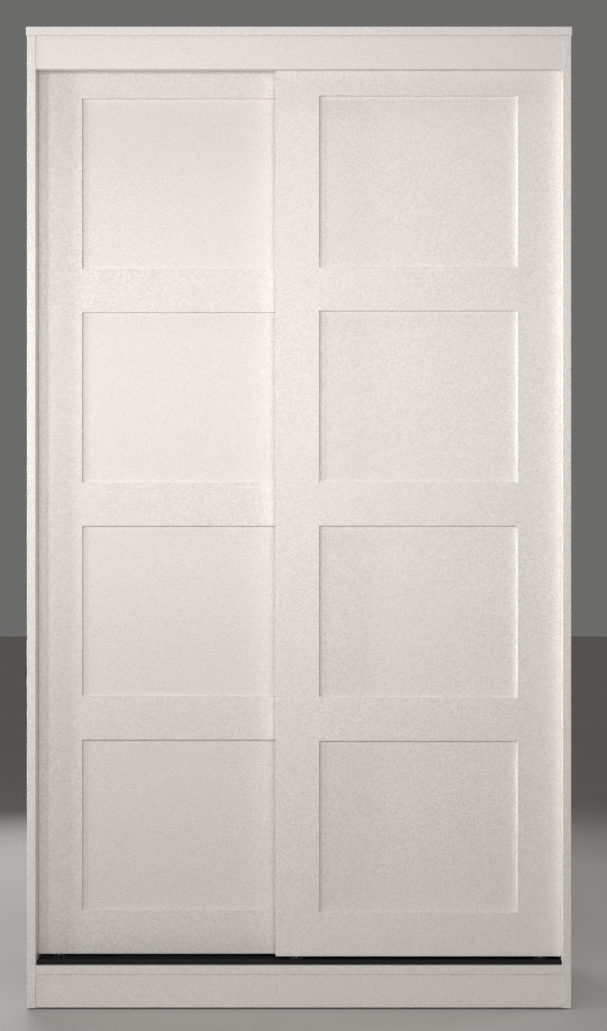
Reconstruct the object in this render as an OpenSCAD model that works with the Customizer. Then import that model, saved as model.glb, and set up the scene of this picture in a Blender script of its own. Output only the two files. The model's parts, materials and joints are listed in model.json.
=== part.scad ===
// Free-standing wardrobe with two framed doors that slide past each other.
// X runs to the right, Y from front to back and Z up. The origin is the middle of the
// footprint, on the floor. All sizes are in millimetres.

/* [Carcass] */
// Overall width, across the top board
overall_w = 1200; // [1100:10:1500]
// Overall depth, from the top board's front edge to its rear edge
overall_d = 600; // [560:5:680]
// Overall height, from the floor to the upper face of the top board
overall_h = 2160; // [2000:10:2400]
// Thickness of the carcass boards
board_t = 19; // [18:1:22]
// How far the top board overhangs each side panel
top_side_overhang = 2; // [0:0.5:5]
// How far the top board overhangs the front edges of the side panels
top_front_overhang = 1; // [0:0.5:3]
// Height of the base board's underside above the floor
plinth_h = 77; // [60:1:110]
// How far the front plinth stands back from the side panels' front edges
plinth_setback = 2; // [1:1:30]
// Visible height of the fascia below the top board
fascia_h = 74; // [60:1:90]
// How far the fascia stands back from the side panels' front edges
fascia_setback = 1; // [0:0.5:3]
// Thickness of the back sheets
back_t = 3; // [3:0.5:5]
// Height of the feet under the side panels
glide_h = 3; // [2:0.5:5]

/* [Interior] */
// Clear height between the hat shelf and the top board
hat_space_h = 382; // [250:1:450]
// Drop from the hat shelf's underside to the middle of the hanging rail
rail_drop = 55; // [50:1:90]
// Height of the hanging rail's oval section
rail_h = 30; // [25:1:35]
// Width of the hanging rail's oval section
rail_w = 15; // [12:1:18]

/* [Doors] */
// Thickness of each door
door_t = 22; // [20:1:24]
// Width by which the two closed doors overlap
door_overlap = 104; // [95:1:130]
// Width of every stile and rail of the door frames
frame_w = 97; // [95:1:120]
// Thickness of the inset panels
panel_t = 6; // [4:1:8]
// Depth from the door's face to the inset panels
recess_d = 9; // [5:0.5:10]
// Chamfer around each inset
chamfer = 1; // [0.5:0.5:3]
// Distance between the middle planes of the two doors
lane_pitch = 30; // [30:1:36]

/* [Running gear] */
// Radius of the rollers under the doors
wheel_r = 14; // [12:0.5:15]
// Width of the rollers' rims
wheel_w = 6; // [5:0.5:6]
// Radius of the roller axles
axle_r = 2; // [1.5:0.5:2.5]
// Thickness of the tracks' walls
track_wall = 1.5; // [1.2:0.1:1.8]

/* [Hidden] */
$fn = 64;
over = 1; // how far a cut runs past the surface it opens
slip = 0.1; // clearance of a piece in its groove or pocket

// carcass faces
side_out = overall_w / 2 - top_side_overhang;
side_in = side_out - board_t;
front_y = -overall_d / 2;
back_y = overall_d / 2;
carcass_front = front_y + top_front_overhang;
base_top = plinth_h + board_t;
top_z = overall_h - board_t;
toe_gap = glide_h + 1; // plinths end a little above the feet
plinth_front = carcass_front + plinth_setback;
rear_plinth_y = back_y - 50;

// back sheets, their grooves and the strip that joins them
groove_d = 8;
groove_y = back_y - 14;
groove_w = back_t + 2 * slip;
sheet_reach = groove_d - 0.5;
joiner_t = 1;
joiner_w = 20;
joiner_web = 1.2;

// door lanes
fascia_back = carcass_front + fascia_setback + board_t;
lane_w = door_t + 2;
lane_front = fascia_back + track_wall + lane_w / 2;
lane_rear = lane_front + lane_pitch;

// interior
inner_front = lane_rear + door_t / 2 + 20;
inner_back = groove_y - joiner_t - 0.2;
inner_mid = (inner_front + inner_back) / 2;
hat_top = top_z - hat_space_h;
hat_z = hat_top - board_t;
shelf_gap = 1; // beside each loose shelf
shelf_count = 3;
bay_h = hat_z - base_top;
shelf_space = (bay_h - shelf_count * board_t) / (shelf_count + 1);
function shelf_z(n) = base_top + n * shelf_space + (n - 1) * board_t;

// shelf pins, in pairs front and back
pin_r = 2.45;
pin_hole_r = 2.5;
pin_hole_d = 10;
pin_length = 17;
pin_flange_r = 4;
pin_flange_t = 0.8;
pin_ys = [inner_front + 55, inner_back - 55];

// hanging rail and its sockets, in the left bay
rail_z = hat_z - rail_drop;
rail_wall = 1.2;
socket_plate = 2.5;
socket_wall = 2.2;
socket_l = 14;
socket_screw = rail_h / 2 + 9;
rail_left = -side_in + socket_plate + 0.5;
rail_right = -board_t / 2 - socket_plate - 0.5;

// door leaf, drawn from its outer lower edge's middle: X across, face at Y = 0
side_gap = 0.3;
door_w = (2 * side_in - 2 * side_gap + door_overlap) / 2;
door_z = base_top + 17;
door_h = top_z - 31 - door_z;
door_x = side_in - side_gap - door_w / 2;
rail_count = 5;
panel_count = rail_count - 1;
inset_w = door_w - 2 * frame_w;
inset_h = (door_h - rail_count * frame_w) / panel_count;
row_h = frame_w + inset_h;
leaf_mid = door_t / 2;

// tracks
bottom_plate = 2;
track_floor = base_top + bottom_plate;
bottom_front = lane_front - 19.5;
bottom_back = lane_rear + 22.5;
track_end = side_in - 0.5;
rib_h = 6;
front_lip_h = 8;
back_lip_h = 3;
top_plate = 1.8;
fin_z = top_z - 20;

// rollers: the rims clear the track floor by roll_gap
roll_gap = 0.3;
axle_z = track_floor + roll_gap + wheel_r - door_z;
axle_clear = 0.05;
roller_inset = 46; // from the door's edge
roller_x = door_w / 2 - roller_inset;
housing_l = 60;
housing_h = 25;
housing_w = 14.8;
cheek_gap = 8.8;
flange_l = 80;
flange_t = 2;
lug_r = 5.5;
roller_screw = 35;

// top guides
guide_inset = 40;
guide_x = door_w / 2 - guide_inset;
guide_l = 40;
guide_foot_l = 60;
guide_foot_t = 2.2;
guide_stem_l = 33.6;
guide_stem_w = 12;
guide_stem_d = 13.8;
guide_head_z = fin_z + 2 - door_z;
guide_head_h = 11;
guide_play = 0.3; // to each wall of its lane
guide_screw = 24;
stop_l = guide_inset - guide_l / 2 + side_gap - guide_play;
stop_nose_r = 6;
stop_drop = 15;

// countersunk screws
screw_r = 1.75;
screw_l = 16;
screw_head_r = 3.5;
screw_rim = 0.4;
screw_head_h = 2.2;
screw_play = 0.05;

// cam fittings: a cam in one board draws in a bolt from the next
cam_r = 7.4;
cam_depth = 12.5;
cam_inset = 24;
bolt_r = 2.9;
bolt_neck_r = 1.8;
bolt_reach = 10.5;
fit = 0.1;

// wall brackets
bracket_x = 450;
bracket_t = 2;
bracket_w = 30;
bracket_leg = 40;
wall_hole_r = 3;
wall_hole_z = top_z - 25;

// screws through the tracks
top_screw_xs = [-500, -180, 180, 500];
bottom_screw_xs = [-520, -260, 0, 260, 520];

// feet
glide_r = 9;
glide_stem_r = 1.5;
glide_stem_h = 10;
glide_ys = [carcass_front + 30, 0, back_y - 30];
brace_glide_ys = [-130, 130];

DOOR_PARTS = concat(
    ["outer_stile", "inner_stile"],
    [for (n = [1:rail_count]) str("rail_", n)],
    [for (n = [1:panel_count]) str("panel_", n)],
    ["roller_housings", "roller_axles", "outer_wheel", "inner_wheel", "top_guides", "screws"]
);

// ---- shared shapes ----

// Draws a box from its lowest corner to its highest.
module box(low, high) {
    translate(low) cube(high - low);
}

// Draws its children and their mirror image in the YZ plane.
module both_sides() {
    children();
    mirror([1, 0, 0]) children();
}

// A flat outline with round ends, w across and h high.
module stadium(w, h) {
    square([w, h - w], center = true);
    for (end = [-1, 1]) translate([0, end * (h - w) / 2]) circle(w / 2);
}

// A flat outline with round corners.
module rounded(w, h, r) {
    square([w, h - 2 * r], center = true);
    square([w - 2 * r, h], center = true);
    for (sx = [-1, 1], sy = [-1, 1]) translate([sx * (w / 2 - r), sy * (h / 2 - r)]) circle(r);
}

// ---- screws ----

// A countersunk screw with a cross recess. Its head is flush with Z = 0 and it points down.
module screw() {
    difference() {
        rotate_extrude() polygon([
            [0, 0], [screw_head_r, 0], [screw_head_r, -screw_rim], [screw_r, -screw_head_h],
            [screw_r, 3 - screw_l], [0, -screw_l]
        ]);
        for (turn = [0, 90]) rotate(turn) box([-2, -0.45, -1.5], [2, 0.45, over]);
    }
}

// The hole that one screw fills, open above Z = 0.
module screw_hole() {
    rotate_extrude() polygon([
        [0, over], [screw_head_r + fit, over], [screw_head_r + fit, -screw_rim - screw_play],
        [screw_r + screw_play, -screw_head_h - fit], [screw_r + screw_play, -screw_l - fit],
        [0, -screw_l - fit]
    ]);
}

// Places its children at each screw that holds the top track. They point up into the top board.
module at_top_track_screws() {
    for (x = top_screw_xs, y = [lane_front, lane_rear]) {
        translate([x, y, top_z - top_plate]) rotate([180, 0, 0]) children();
    }
}

// Places its children at each screw that holds the bottom track, between its two lanes.
module at_bottom_track_screws() {
    for (x = bottom_screw_xs) translate([x, (lane_front + lane_rear) / 2, track_floor]) children();
}

// Places its children at the screws of the rail socket on the divider, pointing right.
module at_divider_socket_screws() {
    for (side = [-1, 1]) {
        translate([-board_t / 2 - socket_plate, inner_mid, rail_z + side * socket_screw])
            rotate([0, -90, 0]) children();
    }
}

// Places its children at the screws of the rail socket on the side panel, pointing left.
module at_side_socket_screws() {
    for (side = [-1, 1]) {
        translate([-side_in + socket_plate, inner_mid, rail_z + side * socket_screw])
            rotate([0, 90, 0]) children();
    }
}

// Places its children at the screws of the wall brackets, pointing up into the top board.
module at_bracket_screws() {
    both_sides() translate([bracket_x, groove_y - 26, top_z - bracket_t]) rotate([180, 0, 0]) children();
}

// ---- cam fittings ----

// A cam and its bolt. The host board's end is at X = 0 and its face at Z = 0; the bolt's
// thread runs on into the next board, on the +X side.
module cam_fitting() {
    bolt_z = -board_t / 2;
    difference() {
        translate([-cam_inset, 0, -cam_depth]) cylinder(r = cam_r, h = cam_depth);
        translate([-cam_inset - bolt_r - 1, 0, bolt_z]) rotate([0, 90, 0]) {
            cylinder(r = bolt_r + 2 * fit, h = cam_inset);
        }
        for (turn = [0, 90]) {
            translate([-cam_inset, 0, 0]) rotate(turn) box([-3, -0.6, -2], [3, 0.6, over]);
        }
    }
    translate([0, 0, bolt_z]) rotate([0, 90, 0]) rotate_extrude() polygon([
        [0, -cam_inset - bolt_r], [bolt_r, -cam_inset - bolt_r], [bolt_r, -cam_inset],
        [bolt_neck_r, -cam_inset], [bolt_neck_r, -cam_inset + 4], [bolt_r, -cam_inset + 4],
        [bolt_r, bolt_reach], [0, bolt_reach]
    ]);
}

// The room that one cam fitting needs in both of its boards.
module cam_room() {
    translate([-cam_inset, 0, -cam_depth - fit]) cylinder(r = cam_r + fit, h = cam_depth + fit + over);
    translate([-cam_inset, 0, -board_t / 2]) rotate([0, 90, 0]) {
        cylinder(r = bolt_r + fit, h = cam_inset + bolt_reach + fit);
    }
}

// Cams under a level board that ends at both side panels.
module at_level_cams(underside, ys) {
    both_sides() for (y = ys) translate([side_in, y, underside]) rotate([180, 0, 0]) children();
}

module at_base_cams() at_level_cams(plinth_h, [-220, 200]) children();

module at_hat_cams() at_level_cams(hat_z, [inner_front + 80, inner_back - 80]) children();

// Cams inside the side panels that hold the top board down.
module at_top_cams() {
    both_sides() for (y = [inner_front + 60, inner_back - 60]) {
        translate([side_in, y, top_z]) rotate([0, -90, 0]) children();
    }
}

// Cams at the divider's foot, on its right face.
module at_divider_foot_cams() {
    for (y = [inner_front + 80, inner_back - 80]) {
        translate([board_t / 2, y, base_top]) rotate([0, 90, 0]) children();
    }
}

// Cams at the divider's head, on its left face.
module at_divider_head_cams() {
    for (y = [inner_front + 80, inner_back - 80]) {
        translate([-board_t / 2, y, hat_z]) rotate([0, -90, 0]) children();
    }
}

// Cams behind the fascia's ends.
module at_fascia_cams() {
    both_sides() translate([side_in, fascia_back, top_z - fascia_h + 27]) rotate([-90, 0, 0]) children();
}

// Cams behind the front plinth's ends.
module at_front_plinth_cams() {
    both_sides() translate([side_in, plinth_front + board_t, plinth_h / 2]) rotate([-90, 0, 0]) children();
}

// Cams in front of the rear plinth's ends.
module at_rear_plinth_cams() {
    both_sides() translate([side_in, rear_plinth_y, plinth_h / 2]) rotate([90, 0, 0]) children();
}

// ---- carcass boards ----

// The right-hand side panel without the holes that only one side has.
module side_board() {
    difference() {
        box([side_in, carcass_front, glide_h], [side_out, back_y, top_z]);
        box([side_in - over, groove_y, plinth_h], [side_in + groove_d, groove_y + groove_w, top_z + over]);
        at_base_cams() cam_room();
        at_hat_cams() cam_room();
        at_top_cams() cam_room();
        at_fascia_cams() cam_room();
        at_front_plinth_cams() cam_room();
        at_rear_plinth_cams() cam_room();
        for (y = glide_ys) translate([side_in + board_t / 2, y, glide_h]) glide_hole();
    }
}

module side_panel_left() {
    color("whitesmoke") difference() {
        mirror([1, 0, 0]) side_board();
        at_side_socket_screws() screw_hole();
    }
}

module side_panel_right() {
    color("whitesmoke") difference() {
        side_board();
        at_shelf_pins(side_in, 1) pin_hole();
    }
}

module top_panel() {
    color("whitesmoke") difference() {
        box([-overall_w / 2, front_y, top_z], [overall_w / 2, back_y, overall_h]);
        box(
            [-side_in - groove_d, groove_y, top_z - over],
            [side_in + groove_d, groove_y + groove_w, top_z + groove_d]
        );
        at_top_cams() cam_room();
        at_top_track_screws() screw_hole();
        at_bracket_screws() screw_hole();
    }
}

module base_panel() {
    color("whitesmoke") difference() {
        box([-side_in, carcass_front, plinth_h], [side_in, back_y, base_top]);
        box(
            [-side_in - over, groove_y, base_top - groove_d],
            [side_in + over, groove_y + groove_w, base_top + over]
        );
        at_base_cams() cam_room();
        at_divider_foot_cams() cam_room();
        at_bottom_track_screws() screw_hole();
    }
}

module centre_divider() {
    color("whitesmoke") difference() {
        box([-board_t / 2, inner_front, base_top], [board_t / 2, inner_back, hat_z]);
        at_divider_foot_cams() cam_room();
        at_divider_head_cams() cam_room();
        at_divider_socket_screws() screw_hole();
        at_shelf_pins(board_t / 2, -1) pin_hole();
    }
}

module hat_shelf() {
    color("whitesmoke") difference() {
        box([-side_in, inner_front, hat_z], [side_in, inner_back, hat_top]);
        at_hat_cams() cam_room();
        at_divider_head_cams() cam_room();
    }
}

module fascia_board() {
    color("whitesmoke") difference() {
        box([-side_in, fascia_back - board_t, top_z - fascia_h], [side_in, fascia_back, top_z]);
        at_fascia_cams() cam_room();
    }
}

module front_plinth() {
    color("whitesmoke") difference() {
        box([-side_in, plinth_front, toe_gap], [side_in, plinth_front + board_t, plinth_h]);
        at_front_plinth_cams() cam_room();
    }
}

module rear_plinth() {
    color("whitesmoke") difference() {
        box([-side_in, rear_plinth_y, toe_gap], [side_in, rear_plinth_y + board_t, plinth_h]);
        at_rear_plinth_cams() cam_room();
    }
}

module plinth_brace() {
    color("whitesmoke") difference() {
        box([-board_t / 2, plinth_front + board_t, glide_h], [board_t / 2, rear_plinth_y, plinth_h]);
        for (y = brace_glide_ys) translate([0, y, glide_h]) glide_hole();
    }
}

// The right-hand back sheet, held in the grooves of its neighbours.
module back_sheet() {
    difference() {
        box(
            [joiner_web / 2 + 2 * slip, groove_y + slip, base_top - sheet_reach],
            [side_in + sheet_reach, groove_y + slip + back_t, top_z + sheet_reach]
        );
        wall_hole();
    }
}

module back_panel_left() {
    color("linen") mirror([1, 0, 0]) back_sheet();
}

module back_panel_right() {
    color("linen") back_sheet();
}

// The H-shaped strip between the two back sheets.
module back_joiner() {
    half = joiner_w / 2;
    color("white") translate([0, 0, base_top + 0.5]) linear_extrude(top_z - base_top - 1) {
        translate([-half, groove_y - joiner_t]) square([joiner_w, joiner_t]);
        translate([-half, groove_y + groove_w]) square([joiner_w, joiner_t]);
        translate([-joiner_web / 2, groove_y - joiner_t / 2]) square([joiner_web, groove_w + joiner_t]);
    }
}

// A loose shelf of the right bay; n counts from the bottom.
module loose_shelf(n) {
    box(
        [board_t / 2 + shelf_gap, inner_front + 5, shelf_z(n)],
        [side_in - shelf_gap, inner_back - 5, shelf_z(n) + board_t]
    );
}

module shelf_lower() {
    color("whitesmoke") loose_shelf(1);
}

module shelf_middle() {
    color("whitesmoke") loose_shelf(2);
}

module shelf_upper() {
    color("whitesmoke") loose_shelf(3);
}

// ---- shelf pins ----

// Places its children at each pin in the face at face_x. They point into the board,
// to the right (way = 1) or to the left (way = -1).
module at_shelf_pins(face_x, way) {
    for (n = [1:shelf_count], y = pin_ys) {
        translate([face_x, y, shelf_z(n) - pin_r - screw_play]) rotate([0, 90 * way, 0]) children();
    }
}

module pin_hole() {
    translate([0, 0, -over]) cylinder(r = pin_hole_r, h = pin_hole_d + over);
}

module shelf_pin() {
    translate([0, 0, pin_hole_d - 0.5 - pin_length]) cylinder(r = pin_r, h = pin_length);
    translate([0, 0, -pin_flange_t]) cylinder(r = pin_flange_r, h = pin_flange_t);
}

module shelf_pins() {
    color("silver") {
        at_shelf_pins(side_in, 1) shelf_pin();
        at_shelf_pins(board_t / 2, -1) shelf_pin();
    }
}

// ---- hanging rail ----

module hanging_rail() {
    color("silver") translate([rail_left, inner_mid, rail_z]) rotate([90, 0, 90]) {
        linear_extrude(rail_right - rail_left) difference() {
            stadium(rail_w, rail_h);
            stadium(rail_w - 2 * rail_wall, rail_h - 2 * rail_wall);
        }
    }
}

// A socket on the left side panel: a screwed plate with a cup that is open at the top.
module rail_socket() {
    cup_w = rail_w + 2 * fit;
    cup_h = rail_h + 2 * fit;
    translate([-side_in, inner_mid, rail_z]) rotate([90, 0, 90]) {
        linear_extrude(socket_plate) stadium(rail_w + 9, rail_h + 30);
        linear_extrude(socket_l) difference() {
            stadium(cup_w + 2 * socket_wall, cup_h + 2 * socket_wall);
            stadium(cup_w, cup_h);
            translate([-cup_w / 2, 0]) square([cup_w, rail_h]);
        }
    }
}

module rail_sockets() {
    color("silver") {
        difference() {
            rail_socket();
            at_side_socket_screws() screw_hole();
        }
        difference() {
            translate([-side_in - board_t / 2, 0, 0]) mirror([1, 0, 0]) rail_socket();
            at_divider_socket_screws() screw_hole();
        }
    }
}

// ---- tracks ----

// The double channel under the top board. Each lane lies between two thin walls.
module top_track() {
    color("lightgray") difference() {
        translate([-track_end, 0, 0]) rotate([90, 0, 90]) linear_extrude(2 * track_end) {
            back = lane_rear + lane_w / 2 + track_wall;
            translate([fascia_back, top_z - top_plate]) square([back - fascia_back, top_plate]);
            for (lane = [lane_front, lane_rear], wall = [-lane_w / 2 - track_wall, lane_w / 2]) {
                translate([lane + wall, fin_z]) square([track_wall, top_z - fin_z]);
            }
        }
        at_top_track_screws() screw_hole();
    }
}

// The double floor track. Two ribs guide each row of rollers.
module bottom_track() {
    rib_gap = wheel_w / 2 + 1;
    color("#1c1c1c") difference() {
        translate([-track_end, 0, 0]) rotate([90, 0, 90]) linear_extrude(2 * track_end) {
            lip_inner = bottom_front + track_wall;
            polygon([
                [bottom_front, base_top], [bottom_back, base_top], [bottom_back, track_floor + back_lip_h],
                [bottom_back - track_wall, track_floor + back_lip_h], [bottom_back - track_wall, track_floor],
                [lip_inner, track_floor], [lip_inner, track_floor + front_lip_h],
                [bottom_front, track_floor + front_lip_h]
            ]);
            for (lane = [lane_front, lane_rear], rib = [-rib_gap - track_wall, rib_gap]) {
                translate([lane + rib, track_floor - over]) square([track_wall, rib_h + over]);
            }
        }
        at_bottom_track_screws() screw_hole();
    }
}

// Buffers in the ends of the top track's lanes, which the doors' guides run against.
module door_stops() {
    color("dimgray") both_sides() for (lane = [lane_front, lane_rear]) {
        translate([side_in, lane, top_z - top_plate - stop_drop]) linear_extrude(stop_drop) {
            nose = stop_l - stop_nose_r;
            translate([-nose, 1 - lane_w / 2]) square([nose - 0.5, lane_w - 2]);
            translate([-nose, 0]) circle(stop_nose_r);
        }
    }
}

module fixing_screws() {
    color("silver") {
        at_top_track_screws() screw();
        at_bottom_track_screws() screw();
        at_side_socket_screws() screw();
        at_divider_socket_screws() screw();
        at_bracket_screws() screw();
    }
}

module cam_fittings() {
    color("silver") {
        at_base_cams() cam_fitting();
        at_hat_cams() cam_fitting();
        at_top_cams() cam_fitting();
        at_divider_foot_cams() cam_fitting();
        at_divider_head_cams() cam_fitting();
        at_fascia_cams() cam_fitting();
        at_front_plinth_cams() cam_fitting();
        at_rear_plinth_cams() cam_fitting();
    }
}

// ---- wall brackets ----

// The hole for one wall screw, on the right-hand side.
module wall_hole() {
    translate([bracket_x, groove_y - 10, wall_hole_z]) rotate([-90, 0, 0]) cylinder(r = wall_hole_r, h = 30);
}

// Angle brackets under the top board, drilled for screws into a wall.
module wall_brackets() {
    color("silver") difference() {
        both_sides() {
            low_x = bracket_x - bracket_w / 2;
            high_x = bracket_x + bracket_w / 2;
            box([low_x, groove_y - bracket_leg, top_z - bracket_t], [high_x, groove_y, top_z]);
            box([low_x, groove_y - bracket_t, top_z - bracket_leg], [high_x, groove_y, top_z]);
        }
        both_sides() wall_hole();
        at_bracket_screws() screw_hole();
    }
}

// ---- feet ----

module glide_hole() {
    translate([0, 0, -over]) cylinder(r = glide_stem_r + fit, h = glide_stem_h + fit + over);
}

// A nail-in foot. It stands on Z = 0.
module glide() {
    rotate_extrude() polygon([
        [0, 0], [glide_r - 1, 0], [glide_r, 1], [glide_r, glide_h], [glide_stem_r, glide_h],
        [glide_stem_r, glide_h + glide_stem_h], [0, glide_h + glide_stem_h]
    ]);
}

module floor_glides() {
    color("dimgray") {
        both_sides() for (y = glide_ys) translate([side_in + board_t / 2, y, 0]) glide();
        for (y = brace_glide_ys) translate([0, y, 0]) glide();
    }
}

// ---- doors ----
// A door's pieces are drawn in the leaf's own frame: X = 0 at its middle, its outer edge
// on the -X side, its face at Y = 0 and its lower edge at Z = 0.

// Places a piece of the left door, which runs in the rear lane.
module in_left_door() {
    translate([-door_x, lane_rear - door_t / 2, door_z]) children();
}

// Places a piece of the right door, which runs in the front lane.
module in_right_door() {
    translate([door_x, lane_front - door_t / 2, door_z]) mirror([1, 0, 0]) children();
}

// Draws its children at both ends of the leaf, at the distance x from its middle.
module at_both(x) {
    for (side = [-1, 1]) translate([side * x, 0, 0]) children();
}

// The chamfer around the inset of row n, as a block with mitred corners.
module inset_chamfer(n) {
    outer_w = inset_w / 2 + chamfer + over;
    outer_h = inset_h / 2 + chamfer + over;
    translate([0, 0, n * row_h - inset_h / 2]) intersection() {
        translate([0, 0, -outer_h]) linear_extrude(2 * outer_h) polygon([
            [-outer_w, -over], [outer_w, -over], [inset_w / 2, chamfer], [-inset_w / 2, chamfer]
        ]);
        translate([-outer_w, 0, 0]) rotate([90, 0, 90]) linear_extrude(2 * outer_w) polygon([
            [-over, -outer_h], [-over, outer_h], [chamfer, inset_h / 2], [chamfer, -inset_h / 2]
        ]);
    }
}

// The pockets and screw holes for one roller, about X = 0.
module roller_pocket() {
    housing_half = housing_l / 2 + 2 * slip;
    flange_half = flange_l / 2 + 2 * slip;
    front = leaf_mid - housing_w / 2 - slip;
    back = leaf_mid + housing_w / 2 + slip;
    box([-housing_half, front, -over], [housing_half, back, housing_h + 2 * slip]);
    box([-flange_half, front, -over], [flange_half, back, flange_t + slip]);
    at_roller_screws() screw_hole();
}

// The pocket and screw holes for one top guide, about X = 0.
module guide_pocket() {
    half_l = guide_stem_l / 2 + 2 * slip;
    front = leaf_mid - guide_stem_w / 2 - slip;
    back = leaf_mid + guide_stem_w / 2 + slip;
    box([-half_l, front, door_h - guide_stem_d - 2 * slip], [half_l, back, door_h + over]);
    at_guide_screws() screw_hole();
}

// The stile at the outer edge of the leaf; side = 1 draws the inner one.
module stile(side) {
    inner = inset_w / 2;
    color("white") difference() {
        translate([side < 0 ? -door_w / 2 : inner, 0, 0]) cube([frame_w, door_t, door_h]);
        translate([side < 0 ? -inner - groove_d : inner - over, recess_d - slip, -over]) {
            cube([groove_d + over, panel_t + 2 * slip, door_h + 2 * over]);
        }
        for (n = [1:panel_count]) inset_chamfer(n);
        translate([side * roller_x, 0, 0]) roller_pocket();
        translate([side * guide_x, 0, 0]) guide_pocket();
    }
}

// Rail n of the leaf, counted from the bottom, with a stub tenon at each end.
module rail(n) {
    low = (n - 1) * row_h;
    high = low + frame_w;
    long = inset_w / 2 + sheet_reach;
    color("white") difference() {
        union() {
            box([-inset_w / 2, 0, low], [inset_w / 2, door_t, high]);
            box([-long, recess_d, low], [long, recess_d + panel_t, high]);
        }
        if (n < rail_count) {
            panel_groove(high - groove_d, high + over);
            inset_chamfer(n);
        }
        if (n > 1) {
            panel_groove(low - over, low + groove_d);
            inset_chamfer(n - 1);
        }
    }
}

// A groove along a rail, between two heights.
module panel_groove(low, high) {
    long = door_w / 2;
    box([-long, recess_d - slip, low], [long, recess_d + panel_t + slip, high]);
}

// Inset panel n of the leaf, counted from the bottom.
module inset_panel(n) {
    half_w = inset_w / 2 + sheet_reach;
    low = n * row_h - inset_h - sheet_reach;
    high = n * row_h + sheet_reach;
    color("white") box([-half_w, recess_d, low], [half_w, recess_d + panel_t, high]);
}

// Places its children at the two screws of a roller housing, pointing up.
module at_roller_screws() {
    at_both(roller_screw) translate([0, leaf_mid, 0]) rotate([180, 0, 0]) children();
}

// Places its children at the two screws of a top guide, pointing down.
module at_guide_screws() {
    at_both(guide_screw) translate([0, leaf_mid, door_h + guide_foot_t]) children();
}

// Draws its children about the roller's axle: Z runs along it.
module at_axle() {
    translate([0, leaf_mid, axle_z]) rotate([90, 0, 0]) children();
}

// One roller housing, about X = 0.
module roller_housing() {
    half_w = housing_w / 2;
    cavity_l = wheel_r + 1.5;
    difference() {
        union() {
            box([-housing_l / 2, leaf_mid - half_w, 0], [housing_l / 2, leaf_mid + half_w, housing_h]);
            box([-flange_l / 2, leaf_mid - half_w, 0], [flange_l / 2, leaf_mid + half_w, flange_t]);
            at_axle() cylinder(r = lug_r, h = housing_w, center = true);
        }
        box(
            [-cavity_l, leaf_mid - cheek_gap / 2, axle_z - wheel_r],
            [cavity_l, leaf_mid + cheek_gap / 2, axle_z + wheel_r + 2]
        );
        at_axle() cylinder(r = axle_r + 0.02, h = housing_w + 2 * over, center = true);
        at_roller_screws() screw_hole();
    }
}

module roller_housings() {
    color("#262626") at_both(roller_x) roller_housing();
}

module roller_axles() {
    color("silver") at_both(roller_x) at_axle() cylinder(r = axle_r, h = housing_w, center = true);
}

// One roller, with a hub, a thin web with five windows and a rim.
module wheel() {
    bore = axle_r + axle_clear;
    hub_r = bore + 2.5;
    rim_r = wheel_r - 3.5;
    hub_w = cheek_gap / 2 - 0.4;
    edge = 0.6;
    color("#262626") at_axle() difference() {
        rotate_extrude() polygon([
            [bore, -hub_w], [hub_r, -hub_w], [hub_r, -1.5], [rim_r, -1.5], [rim_r, -wheel_w / 2],
            [wheel_r - edge, -wheel_w / 2], [wheel_r, edge - wheel_w / 2],
            [wheel_r, wheel_w / 2 - edge], [wheel_r - edge, wheel_w / 2],
            [rim_r, wheel_w / 2], [rim_r, 1.5], [hub_r, 1.5], [hub_r, hub_w], [bore, hub_w]
        ]);
        for (turn = [0:72:359]) rotate(turn) linear_extrude(6, center = true) intersection() {
            difference() {
                circle(rim_r - 1);
                circle(hub_r + 1);
            }
            polygon([[0, 0], [wheel_r, -6], [wheel_r, 6]]);
        }
    }
}

// One top guide, about X = 0: a foot on the stile, a stem in it and a head in the lane.
module top_guide() {
    half_l = guide_stem_l / 2;
    front = leaf_mid - guide_stem_w / 2;
    back = leaf_mid + guide_stem_w / 2;
    difference() {
        union() {
            box([-half_l, front, door_h - guide_stem_d], [half_l, back, guide_head_z + over]);
            translate([0, leaf_mid, door_h]) linear_extrude(guide_foot_t) {
                rounded(guide_foot_l, door_t - 1, 4);
            }
            translate([0, leaf_mid, guide_head_z]) linear_extrude(guide_head_h) {
                rounded(guide_l, lane_w - 2 * guide_play, 6);
            }
        }
        at_guide_screws() screw_hole();
    }
}

module top_guides() {
    color("gray") at_both(guide_x) top_guide();
}

module door_screws() {
    color("silver") {
        at_both(roller_x) at_roller_screws() screw();
        at_both(guide_x) at_guide_screws() screw();
    }
}

// Draws the named piece of a door in the leaf's own frame.
module door_part(part) {
    if (part == "outer_stile") stile(-1);
    if (part == "inner_stile") stile(1);
    for (n = [1:rail_count]) if (part == str("rail_", n)) rail(n);
    for (n = [1:panel_count]) if (part == str("panel_", n)) inset_panel(n);
    if (part == "roller_housings") roller_housings();
    if (part == "roller_axles") roller_axles();
    if (part == "outer_wheel") translate([-roller_x, 0, 0]) wheel();
    if (part == "inner_wheel") translate([roller_x, 0, 0]) wheel();
    if (part == "top_guides") top_guides();
    if (part == "screws") door_screws();
}

// ---- nodes ----

side_panel_left();
side_panel_right();
top_panel();
base_panel();
centre_divider();
fascia_board();
front_plinth();
rear_plinth();
plinth_brace();
back_panel_left();
back_panel_right();
back_joiner();
hat_shelf();
shelf_lower();
shelf_middle();
shelf_upper();
shelf_pins();
hanging_rail();
rail_sockets();
top_track();
bottom_track();
door_stops();
fixing_screws();
cam_fittings();
wall_brackets();
floor_glides();
for (part = DOOR_PARTS) {
    in_left_door() door_part(part);
    in_right_door() door_part(part);
}
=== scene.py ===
import json
from math import radians

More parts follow.
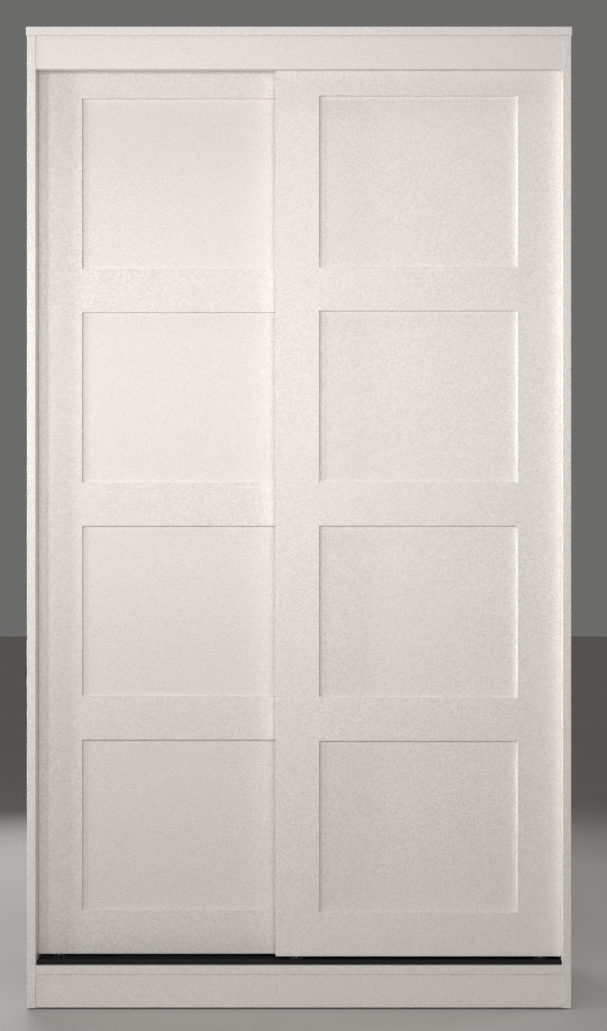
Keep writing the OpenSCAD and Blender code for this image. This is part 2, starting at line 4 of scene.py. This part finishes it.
import bmesh
import bpy
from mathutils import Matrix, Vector

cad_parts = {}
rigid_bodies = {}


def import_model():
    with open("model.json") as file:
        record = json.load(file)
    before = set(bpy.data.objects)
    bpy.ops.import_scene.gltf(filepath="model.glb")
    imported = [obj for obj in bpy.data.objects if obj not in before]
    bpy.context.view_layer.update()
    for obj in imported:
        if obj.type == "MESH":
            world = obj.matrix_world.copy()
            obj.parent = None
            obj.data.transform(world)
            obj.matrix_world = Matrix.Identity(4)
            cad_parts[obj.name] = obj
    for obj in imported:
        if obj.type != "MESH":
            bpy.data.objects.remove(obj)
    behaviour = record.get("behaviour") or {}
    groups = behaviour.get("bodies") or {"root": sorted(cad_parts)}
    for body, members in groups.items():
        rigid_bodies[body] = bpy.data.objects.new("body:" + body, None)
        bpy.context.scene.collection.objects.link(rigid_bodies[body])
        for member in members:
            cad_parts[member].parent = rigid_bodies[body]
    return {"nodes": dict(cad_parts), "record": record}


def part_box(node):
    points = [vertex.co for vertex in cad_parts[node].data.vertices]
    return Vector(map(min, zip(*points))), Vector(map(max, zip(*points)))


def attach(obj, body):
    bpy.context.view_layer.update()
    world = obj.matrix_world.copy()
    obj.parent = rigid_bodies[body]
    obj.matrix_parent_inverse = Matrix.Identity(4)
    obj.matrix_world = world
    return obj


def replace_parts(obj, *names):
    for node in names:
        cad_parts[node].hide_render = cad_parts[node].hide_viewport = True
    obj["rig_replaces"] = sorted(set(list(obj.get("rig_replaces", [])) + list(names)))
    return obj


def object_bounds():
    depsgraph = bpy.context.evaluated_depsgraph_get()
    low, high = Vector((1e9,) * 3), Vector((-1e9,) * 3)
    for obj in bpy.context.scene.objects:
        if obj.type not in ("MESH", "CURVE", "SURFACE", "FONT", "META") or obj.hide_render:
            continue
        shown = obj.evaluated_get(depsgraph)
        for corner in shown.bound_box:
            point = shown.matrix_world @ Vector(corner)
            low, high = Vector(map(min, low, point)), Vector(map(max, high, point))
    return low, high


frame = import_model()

cad_low, cad_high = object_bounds()

MM = 0.001
DOORS = ("left_door", "right_door")
RECORD = frame["record"]
SLOT_OF = {part["node"]: part["material_slot"] for part in RECORD["subparts"]}
BODY_OF = {
    node: body
    for body, nodes in RECORD["behaviour"]["bodies"].items()
    for node in nodes
}


# ---- node materials ----

class Look:
    """A material under construction: one Principled shader and the nodes that feed it.

    Sizes are the width of a feature in metres. Textures follow the object's own coordinates,
    so they ride with the piece and run on unbroken from one board to the next.
    """

    def __init__(self, name, **sockets):
        self.material = bpy.data.materials.new(name)
        self.material.use_nodes = True
        self.tree = self.material.node_tree
        self.surface = self.tree.nodes["Principled BSDF"]
        self.place = self.tree.nodes.new("ShaderNodeTexCoord")
        self.normal = None
        for socket, value in sockets.items():
            self.surface.inputs[socket.replace("_", " ")].default_value = value

    def add(self, kind, **settings):
        node = self.tree.nodes.new("ShaderNode" + kind)
        for key, value in settings.items():
            setattr(node, key, value)
        return node

    def join(self, source, target):
        self.tree.links.new(source, target)

    def noise(self, size, detail=2.0, stretch=(1, 1, 1), roughness=0.5):
        """Noise with features of that size, drawn out along an axis by stretch."""
        mapping = self.add("Mapping")
        mapping.inputs["Scale"].default_value = [1 / (size * s) for s in stretch]
        noise = self.add("TexNoise")
        noise.inputs["Scale"].default_value = 1.0
        noise.inputs["Detail"].default_value = detail
        noise.inputs["Roughness"].default_value = roughness
        self.join(self.place.outputs["Object"], mapping.inputs["Vector"])
        self.join(mapping.outputs["Vector"], noise.inputs["Vector"])
        return noise.outputs["Fac"]

    def cells(self, size):
        """Distance to the nearest of many scattered points, for the spangle of a metal coat."""
        cells = self.add("TexVoronoi")
        cells.inputs["Scale"].default_value = 1 / size
        self.join(self.place.outputs["Object"], cells.inputs["Vector"])
        return cells.outputs["Distance"]

    def axis(self, which, name="Object"):
        """One coordinate of the place, or of the surface's own normal with name="Normal"."""
        split = self.add("SeparateXYZ")
        self.join(self.place.outputs[name], split.inputs[0])
        return split.outputs[which]

    def spread(self, value, low, high, start=0.3, end=0.7):
        """Maps value from start..end to low..high."""
        mapping = self.add("MapRange")
        limits = {"From Min": start, "From Max": end, "To Min": low, "To Max": high}
        for key, number in limits.items():
            mapping.inputs[key].default_value = number
        self.join(value, mapping.inputs["Value"])
        return mapping.outputs["Result"]

    def mix(self, factor, first, second):
        """A colour between two, each an RGB triple or a socket."""
        mixer = self.add("Mix", data_type="RGBA")
        self.join(factor, mixer.inputs["Factor"])
        for key, colour in ((6, first), (7, second)):
            if isinstance(colour, tuple):
                mixer.inputs[key].default_value = (*colour, 1)
            else:
                self.join(colour, mixer.inputs[key])
        return mixer.outputs[2]

    def colour(self, socket):
        self.join(socket, self.surface.inputs["Base Color"])

    def rough(self, socket):
        self.join(socket, self.surface.inputs["Roughness"])

    def bump(self, height, depth, strength=1.0):
        """Adds relief of that depth in metres on top of the relief so far."""
        bump = self.add("Bump")
        bump.inputs["Strength"].default_value = strength
        bump.inputs["Distance"].default_value = depth
        self.join(height, bump.inputs["Height"])
        if self.normal:
            self.join(self.normal, bump.inputs["Normal"])
        self.normal = bump.outputs["Normal"]
        self.join(self.normal, self.surface.inputs["Normal"])


def shade(colour, factor):
    """A darker or lighter version of an RGB colour."""
    return tuple(min(1.0, part * factor) for part in colour)


WHITE = (0.87, 0.833, 0.802)


def grained_white(name, grain, relief, roughness):
    """White paint or melamine: speckle of that grain, slow drift of tone, shallow relief."""
    look = Look(name, IOR=1.48)
    speck = look.spread(look.noise(grain, 1.0, roughness=0.6), 0.0, 1.0)
    tone = look.mix(speck, shade(WHITE, 0.84), shade(WHITE, 1.1))
    drift = look.spread(look.noise(0.35, 2.0), 0.0, 0.35)
    look.colour(look.mix(drift, tone, shade(WHITE, 0.97)))
    look.rough(look.spread(look.noise(0.02, 3.0), roughness - 0.04, roughness + 0.05))
    look.bump(look.noise(grain * 0.9, 2.0), relief)
    look.bump(look.noise(0.03, 1.0), 0.15 * MM, 0.25)
    return look.material


def back_sheet():
    """Hardboard: a white front face and a brown rear of pressed fibre."""
    look = Look("back_hardboard", IOR=1.45)
    fibre = look.noise(1.6 * MM, 4.0, (1, 1, 4), 0.7)
    brown = look.mix(look.spread(fibre, 0, 1), (0.20, 0.115, 0.06), (0.36, 0.225, 0.125))
    blotch = look.spread(look.noise(0.06, 3.0), 0, 0.6)
    brown = look.mix(blotch, brown, (0.25, 0.15, 0.085))
    speck = look.spread(look.noise(2.4 * MM, 3.0), 0, 1)
    white = look.mix(speck, shade(WHITE, 0.95), shade(WHITE, 1.0))
    rear = look.spread(look.axis("Y", "Normal"), 0, 1, 0.4, 0.6)
    look.colour(look.mix(rear, white, brown))
    look.rough(look.spread(rear, 0.45, 0.78, 0, 1))
    look.bump(fibre, 0.1 * MM, 0.5)
    return look.material


def plastic(name, colour, roughness, relief=0.02 * MM, tone=0.9):
    """Moulded plastic: spark-eroded grain and slight drift of tone."""
    look = Look(name, IOR=1.5)
    drift = look.spread(look.noise(0.012, 3.0), 0, 1)
    look.colour(look.mix(drift, shade(colour, tone), colour))
    look.rough(look.spread(look.noise(3 * MM, 3.0), roughness - 0.06, roughness + 0.06))
    look.bump(look.noise(0.5 * MM, 2.0), relief)
    return look.material


def metal(name, colour, roughness, stretch=(1, 1, 1), size=0.6 * MM, relief=0.006 * MM):
    """Metal with fine scratches, drawn out along one axis where stretch says so."""
    look = Look(name, Metallic=1.0)
    streak = look.noise(size, 3.0, stretch, 0.6)
    look.colour(look.mix(look.spread(streak, 0, 1), shade(colour, 0.88), colour))
    look.rough(look.spread(streak, roughness - 0.06, roughness + 0.09))
    look.bump(streak, relief, 0.6)
    return look.material


def track_black():
    """Black anodised aluminium: drawn along X, a little dusty on its upward faces."""
    look = Look("track_black", IOR=1.33)
    streak = look.noise(0.8 * MM, 3.0, (60, 1, 1), 0.6)
    black = look.mix(look.spread(streak, 0, 1), (0.005, 0.005, 0.006), (0.010, 0.010, 0.011))
    upward = look.spread(look.axis("Z", "Normal"), 0, 0.35, 0.6, 1.0)
    cloud = look.spread(look.noise(0.02, 4.0), 0, 1)
    dust = look.mix(cloud, (0.008, 0.008, 0.008), (0.014, 0.0135, 0.013))
    look.colour(look.mix(upward, black, dust))
    look.rough(look.spread(streak, 0.45, 0.6))
    look.bump(streak, 0.01 * MM, 0.5)
    return look.material


def zinc_plate(name):
    """Zinc-plated steel: a mottled bright coat."""
    look = Look(name, Metallic=1.0)
    spangle = look.spread(look.cells(2.5 * MM), 0, 1, 0.1, 0.7)
    look.colour(look.mix(spangle, (0.62, 0.62, 0.63), (0.78, 0.78, 0.79)))
    look.rough(look.spread(look.noise(1 * MM, 3.0), 0.24, 0.42))
    look.bump(look.noise(0.4 * MM, 2.0), 0.008 * MM, 0.6)
    return look.material


def chrome():
    look = Look("rail_chrome", Metallic=1.0)
    smear = look.noise(0.01, 4.0, (4, 1, 1))
    look.colour(look.mix(look.spread(smear, 0, 1), (0.78, 0.78, 0.80), (0.86, 0.86, 0.87)))
    look.rough(look.spread(smear, 0.07, 0.2))
    look.bump(look.noise(0.6 * MM, 3.0, (30, 1, 1)), 0.002 * MM, 0.4)
    return look.material


MATERIALS = {
    "door_white": grained_white("door_lacquer", 3.4 * MM, 0.05 * MM, 0.42),
    "carcass_white": grained_white("carcass_melamine", 3.2 * MM, 0.035 * MM, 0.38),
    "back_sheet": back_sheet(),
    "joiner_plastic": plastic("joiner_plastic", (0.80, 0.79, 0.77), 0.36),
    "rail_chrome": chrome(),
    "track_aluminium": metal("track_aluminium", (0.74, 0.74, 0.75), 0.34, (60, 1, 1)),
    "track_black": track_black(),
    "stop_rubber": plastic("stop_rubber", (0.03, 0.03, 0.03), 0.75, 0.03 * MM, 0.7),
    "fastener_steel": zinc_plate("fastener_zinc"),
    "cam_zinc": metal("cam_zinc", (0.60, 0.60, 0.61), 0.42, size=1.5 * MM, relief=0.03 * MM),
    "bracket_steel": zinc_plate("bracket_zinc"),
    "glide_plastic": plastic("glide_plastic", (0.05, 0.05, 0.05), 0.5),
    "guide_plastic": plastic("guide_plastic", (0.24, 0.24, 0.25), 0.5),
    "housing_plastic": plastic("housing_plastic", (0.022, 0.022, 0.023), 0.5),
    "wheel_nylon": plastic("wheel_nylon", (0.03, 0.03, 0.03), 0.42, 0.015 * MM),
    "axle_steel": metal("axle_steel", (0.66, 0.66, 0.67), 0.25, (1, 12, 1)),
}


# ---- pieces from the CAD nodes ----

WELD = 1e-6
FLAT = radians(0.3)  # faces nearer in angle than this are joined into one
LONG = 12 * MM  # only edges longer than this are rounded over
CREASE = radians(25)  # and only where the faces turn by more than this
SHARP = radians(50)  # shading breaks at edges sharper than this
SEAM_REACH = 0.05 * MM
ARRIS_SEGMENTS = 2


def seam_places():
    """The X of every joint between a stile and its rails, where paint hides the seam."""
    seams = []
    for door in DOORS:
        for stile in ("outer_stile", "inner_stile"):
            low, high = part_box(f"{door}_{stile}")
            middle = sum(corner.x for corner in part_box(f"{door}_rail_1")) / 2
            seams.append(high.x if abs(high.x - middle) < abs(low.x - middle) else low.x)
    return seams


SEAMS = seam_places()


def on_seam(edge):
    """Is this upright edge on a painted joint between a stile and a rail?"""
    a, b = (corner.co for corner in edge.verts)
    upright = abs(a.x - b.x) < WELD and abs(a.y - b.y) < WELD
    return upright and any(abs(a.x - seam) < SEAM_REACH for seam in SEAMS)


def finished(node, radius):
    """A copy of a CAD node with its long outer edges rounded over. It stands for the node."""
    mesh = frame["nodes"][node].data.copy()
    mesh.name = node + "_finished"
    mesh.materials.clear()
    shape = bmesh.new()
    shape.from_mesh(mesh)
    bmesh.ops.remove_doubles(shape, verts=shape.verts, dist=WELD)
    bmesh.ops.dissolve_limit(
        shape, angle_limit=FLAT, verts=shape.verts, edges=shape.edges, delimit={"NORMAL"}
    )
    outer = [
        edge for edge in shape.edges
        if len(edge.link_faces) == 2
        and edge.calc_length() > LONG
        and edge.calc_face_angle_signed() > CREASE
        and not ("_door_" in node and on_seam(edge))
    ]
    bmesh.ops.bevel(
        shape, geom=outer, offset=radius, segments=ARRIS_SEGMENTS, profile=0.5,
        affect="EDGES", clamp_overlap=False,
    )
    for face in shape.faces:
        face.smooth = True
    for edge in shape.edges:
        if len(edge.link_faces) == 2 and edge.calc_face_angle(0) > SHARP:
            edge.smooth = False
    shape.to_mesh(mesh)
    shape.free()
    piece = bpy.data.objects.new(node + "_finished", mesh)
    bpy.context.scene.collection.objects.link(piece)
    normals = piece.modifiers.new("even_normals", "WEIGHTED_NORMAL")
    normals.keep_sharp = True
    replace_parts(piece, node)
    mesh.materials.append(MATERIALS[SLOT_OF[node]])
    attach(piece, BODY_OF[node])


BOARD_ARRIS = 1.0 * MM
DOOR_ARRIS = 0.5 * MM
HOUSING_ARRIS = 0.4 * MM
SHEET_ARRIS = 0.2 * MM
BOARDS = (
    "side_panel_left", "side_panel_right", "top_panel", "base_panel", "centre_divider",
    "fascia_board", "front_plinth", "rear_plinth", "plinth_brace", "hat_shelf",
    "shelf_lower", "shelf_middle", "shelf_upper",
)
THIN = (
    "back_panel_left", "back_panel_right", "back_joiner", "bottom_track", "top_track",
    "wall_brackets",
)
for board in BOARDS:
    finished(board, BOARD_ARRIS)
for thin in THIN:
    finished(thin, SHEET_ARRIS)
for door in DOORS:
    for member, slot in SLOT_OF.items():
        if member.startswith(door) and slot == "door_white":
            finished(member, DOOR_ARRIS)
    finished(door + "_roller_housings", HOUSING_ARRIS)

REPLACED = {
    name for piece in bpy.data.objects for name in piece.get("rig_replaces", [])
}
for node, thing in frame["nodes"].items():
    if node not in REPLACED:
        thing.data.materials.clear()
        thing.data.materials.append(MATERIALS[SLOT_OF[node]])


# ---- floor, light and camera ----

def floor():
    bpy.ops.mesh.primitive_plane_add(size=40, location=(0, 0, 0))
    plane = bpy.context.object
    plane.name = "floor"
    look = Look("floor_paint", Roughness=0.7)
    tone = look.spread(look.noise(0.6, 2.0), 0, 1)
    look.colour(look.mix(tone, (0.5, 0.49, 0.475), (0.53, 0.52, 0.505)))
    plane.data.materials.append(look.material)


def area_light(name, place, target, size, power, spread, colour):
    """A soft box that faces the target. Power is in watts, its beam is spread degrees wide."""
    light = bpy.data.lights.new(name, "AREA")
    light.shape = "RECTANGLE"
    light.size, light.size_y = size
    light.energy = power
    light.spread = radians(spread)
    light.color = colour
    lamp = bpy.data.objects.new(name, light)
    lamp.location = place
    lamp.rotation_euler = (Vector(target) - Vector(place)).to_track_quat("-Z", "Y").to_euler()
    bpy.context.scene.collection.objects.link(lamp)


def world(strength, colour):
    sky = bpy.data.worlds.new("studio")
    sky.use_nodes = True
    background = sky.node_tree.nodes["Background"]
    background.inputs["Color"].default_value = (*colour, 1)
    background.inputs["Strength"].default_value = strength
    bpy.context.scene.world = sky


EYE_X = 0.0097
EYE_HEIGHT = 1.010
EYE_DISTANCE = 4.7  # in front of the wardrobe
FOCAL_LENGTH = 74.7  # mm, on a sensor 36 mm long
LENS_RISE = 0.0335  # lifts the picture without tilting the camera


def camera():
    """Looks straight at the front from a little below its middle."""
    lens = bpy.data.cameras.new("camera")
    lens.lens = FOCAL_LENGTH
    lens.sensor_width = 36
    lens.shift_y = LENS_RISE
    eye = bpy.data.objects.new("camera", lens)
    eye.location = (EYE_X, cad_low[1] - EYE_DISTANCE, EYE_HEIGHT)
    eye.rotation_euler = (radians(90), 0, 0)
    bpy.context.scene.collection.objects.link(eye)
    bpy.context.scene.camera = eye


WARM = (1.0, 0.985, 0.97)
WARMER = (1.0, 0.985, 0.965)
NEUTRAL = (1.0, 1.0, 1.0)
COOL = (0.99, 0.99, 1.0)
SOFT = (1.0, 0.99, 0.98)
# Each lamp: name, place, target, width and height, watts, beam in degrees, colour.
LAMPS = (
    ("front_softbox", (0.1, -3.8, 1.55), (0.0, -0.28, 1.62), (2.4, 1.4), 15.8, 100, WARM),
    ("near_fill", (-0.6, -2.5, 1.5), (-0.3, -0.28, 1.5), (0.8, 0.8), 2.4, 110, WARMER),
    ("strip_24", (-1.56, -2.55, 1.55), (0.0, -0.28, 1.55), (0.2, 0.9), 4.9, 110, WARMER),
    ("strip_57", (-2.76, -1.7, 1.55), (0.0, -0.28, 1.55), (0.35, 0.9), 6.2, 110, WARMER),
    ("raking", (-3.17, -0.507, 1.34), (0.1, -0.5, 1.34), (0.12, 2.4), 4.7, 25, COOL),
    ("top_raking", (-0.1, -0.75, 3.7), (0.0, -0.28, 1.0), (1.6, 0.15), 1.3, 70, NEUTRAL),
    ("rear_softbox", (-1.3, 3.6, 1.4), (0.0, 0.3, 1.1), (2.2, 1.4), 30, 120, SOFT),
    ("side_softbox", (3.5, 1.3, 1.4), (0.6, 0.0, 1.1), (1.6, 1.4), 20, 120, SOFT),
)
SKY_STRENGTH = 0.15

floor()
world(SKY_STRENGTH, SOFT)
for lamp in LAMPS:
    area_light(*lamp)
camera()
bpy.context.scene.view_settings.view_transform = "Standard"
